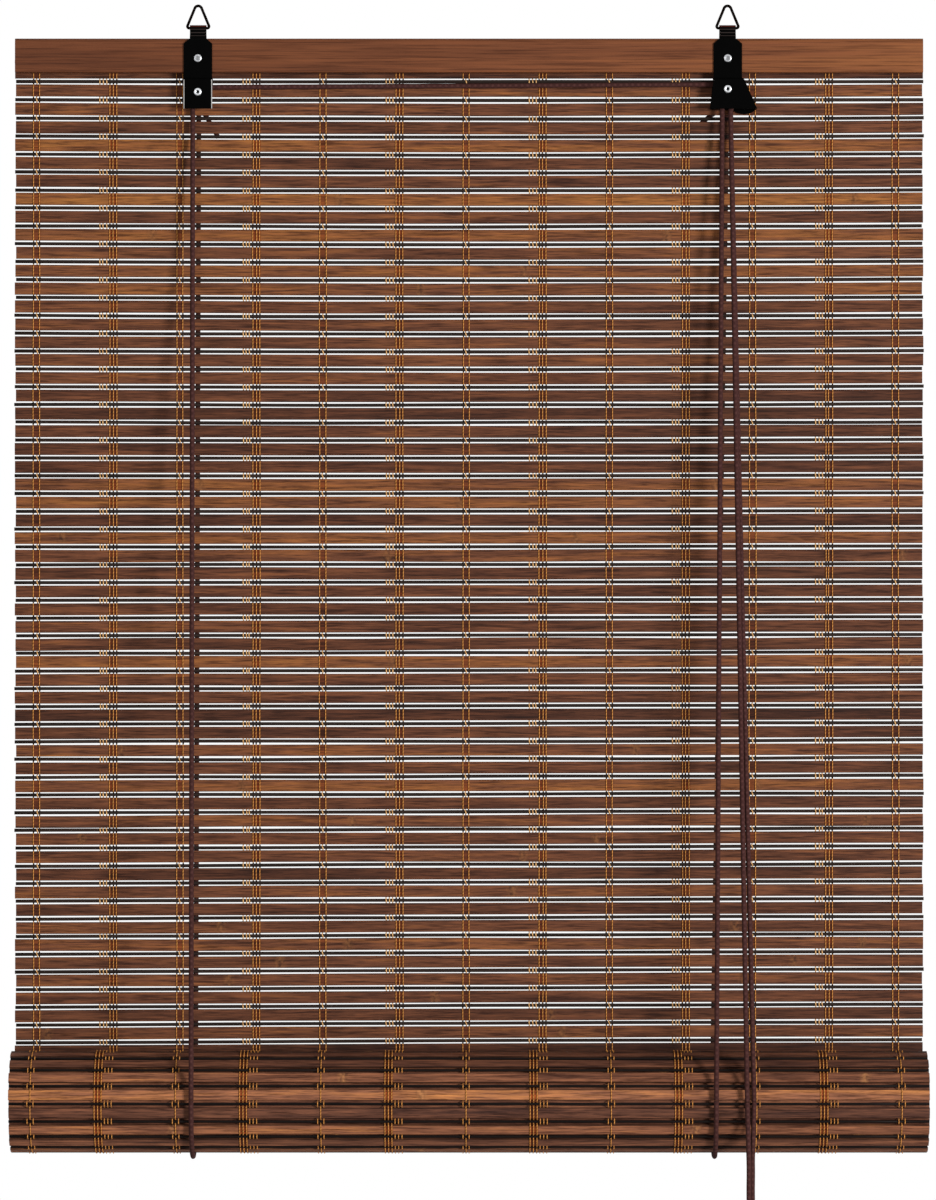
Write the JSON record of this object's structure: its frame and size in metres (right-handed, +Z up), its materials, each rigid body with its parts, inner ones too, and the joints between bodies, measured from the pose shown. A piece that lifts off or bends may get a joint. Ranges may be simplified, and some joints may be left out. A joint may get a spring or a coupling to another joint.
{
  "type": "bamboo roll up blind",
  "caption": "Window blind of woven bamboo slats and sticks on a wooden head rail with hanging rings, part rolled up in cord slings, with a cord lock and pull cords.",
  "frame": {"origin": "on the hanging line, the inside of the two rings' tips, midway along the head rail", "axes": "+X along the rail to the viewer's right, +Y from the viewer towards the window, +Z up"},
  "size_m": [0.6, 0.0831, 0.8123],
  "materials": {
    "rail_wood": "stained, satin",
    "mat_bamboo": "stained, satin",
    "warp_thread": "spun thread",
    "black_sheet": "gloss",
    "steel": "plated",
    "brass": "turned",
    "cord": "braided"
  },
  "bodies": {
    "head": {"head_rail": "rail_wood", "slat_mat": "mat_bamboo", "front_warp_threads": "warp_thread", "back_warp_threads": "warp_thread", "left_strap": "black_sheet", "right_strap": "black_sheet", "lock_back_plate": "black_sheet", "left_strap_rivet": "steel", "right_strap_rivet": "steel", "left_axle_rivet": "steel", "right_axle_rivet": "steel", "left_spacer": "steel", "left_washer": "steel", "right_front_washer": "steel", "right_rear_washer": "steel", "left_back_cord": "cord", "right_back_cord": "cord", "left_front_cord": "cord", "right_front_cord": "cord", "crossing_cord": "cord", "right_turn_cord": "cord", "left_pull_cord": "cord", "right_pull_cord": "cord", "left_cord_knot": "cord", "right_cord_knot": "cord"},
    "left_ring": {"left_ring": "black_sheet"},
    "right_ring": {"right_ring": "black_sheet"},
    "left_wheel": {"left_wheel": "brass"},
    "right_wheel": {"right_wheel": "brass"},
    "lock_roller": {"lock_roller": "steel"},
    "slings": {"left_sling_cord": "cord", "right_sling_cord": "cord", "left_pull_end": "cord", "right_pull_end": "cord", "pull_cord_knot": "cord"},
    "roll": {"rolled_mat": "mat_bamboo", "roll_warp_threads": "warp_thread", "bottom_rail": "rail_wood"}
  },
  "joints": [
    {"name": "roll_lift", "type": "slide", "parent": "head", "child": "slings", "axis": [0, 0, 1], "range_m": [0, 0.44], "deforming": ["slat_mat", "front_warp_threads", "back_warp_threads", "left_back_cord", "right_back_cord", "left_front_cord", "right_front_cord", "left_pull_cord", "right_pull_cord"]},
    {"name": "roll_turn", "type": "hinge", "parent": "slings", "child": "roll", "pos_m": [0, -0.0286, -0.71955], "axis": [1, 0, 0], "range_deg": [-721, 1]},
    {"name": "left_ring_swing", "type": "hinge", "parent": "head", "child": "left_ring", "pos_m": [-0.1788, 0, -0.0138], "axis": [1, 0, 0], "range_deg": [-90, 90]},
    {"name": "right_ring_swing", "type": "hinge", "parent": "head", "child": "right_ring", "pos_m": [0.1706, 0, -0.0138], "axis": [1, 0, 0], "range_deg": [-90, 90]},
    {"name": "left_wheel_turn", "type": "hinge", "parent": "head", "child": "left_wheel", "pos_m": [-0.1788, 0, -0.05638], "axis": [0, 1, 0], "continuous": true},
    {"name": "right_wheel_turn", "type": "hinge", "parent": "head", "child": "right_wheel", "pos_m": [0.1706, 0, -0.05448], "axis": [0, 1, 0], "continuous": true},
    {"name": "lock_roller_release", "type": "slide", "parent": "head", "child": "lock_roller", "axis": [0.3995, 0, -0.9167], "range_m": [0, 0.005]}
  ],
  "couplings": [
    {"joint": "roll_turn", "follows": "roll_lift", "rad_per_m": -28.56},
    {"joint": "left_wheel_turn", "follows": "roll_lift", "rad_per_m": 555.56},
    {"joint": "right_wheel_turn", "follows": "roll_lift", "rad_per_m": 555.56}
  ]
}
